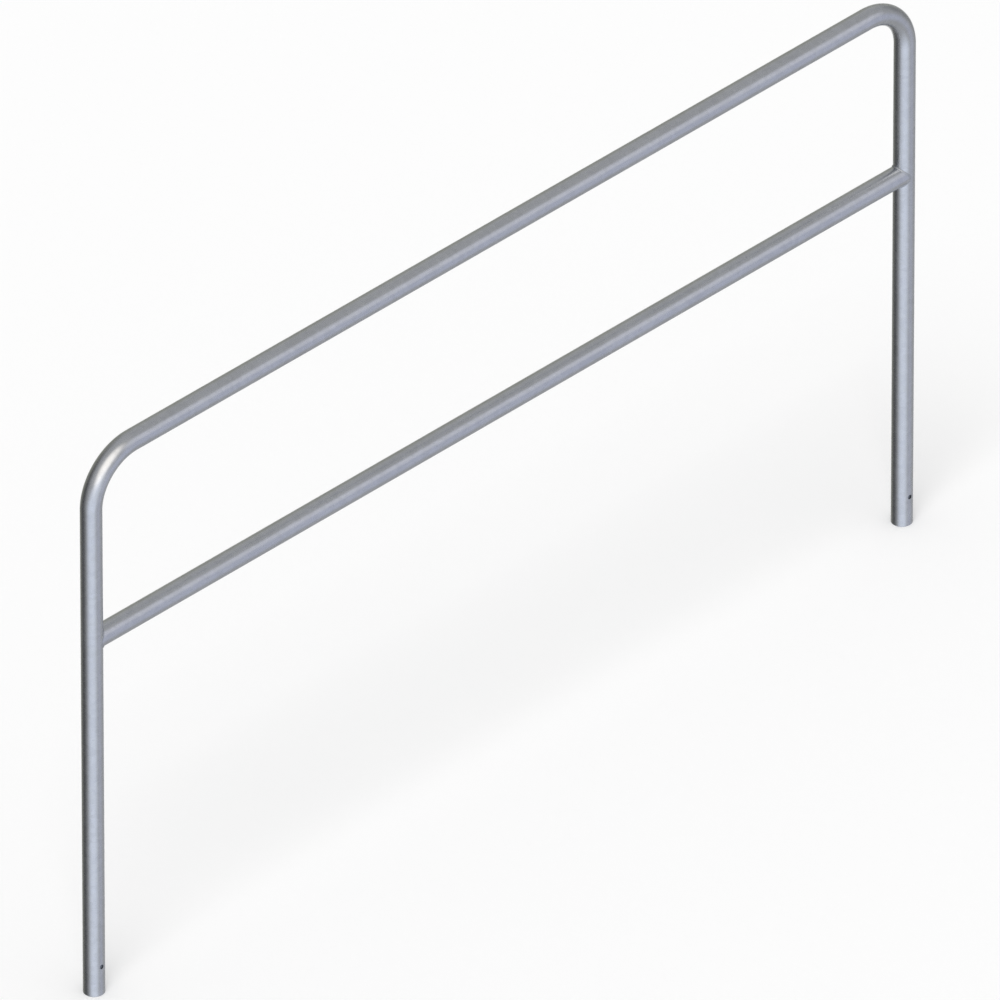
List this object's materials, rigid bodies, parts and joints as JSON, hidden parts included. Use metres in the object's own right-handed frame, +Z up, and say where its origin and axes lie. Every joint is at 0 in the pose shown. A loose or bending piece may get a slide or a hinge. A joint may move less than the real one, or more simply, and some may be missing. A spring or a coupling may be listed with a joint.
{
  "type": "steel hoop barrier",
  "caption": "Tubular steel hoop barrier: one tube bent into a wide hoop with two legs for setting in the ground, and a knee rail welded between the legs.",
  "frame": {"origin": "centre of the left leg's end face, at the bottom of the leg, 400 mm below ground level", "axes": "+X along the rails from the left leg to the right leg, +Y square to the hoop's plane, +Z up"},
  "size_m": [2.5001, 0.0496, 1.4],
  "materials": {
    "galvanised_tube": "hot-dip galvanised, satin, with a fine faint spangle",
    "galvanised_weld": "weld bead under zinc, slightly duller than the tube"
  },
  "bodies": {
    "root": {"hoop_tube": "galvanised_tube", "knee_rail": "galvanised_tube", "left_weld": "galvanised_weld", "right_weld": "galvanised_weld"}
  },
  "joints": []
}
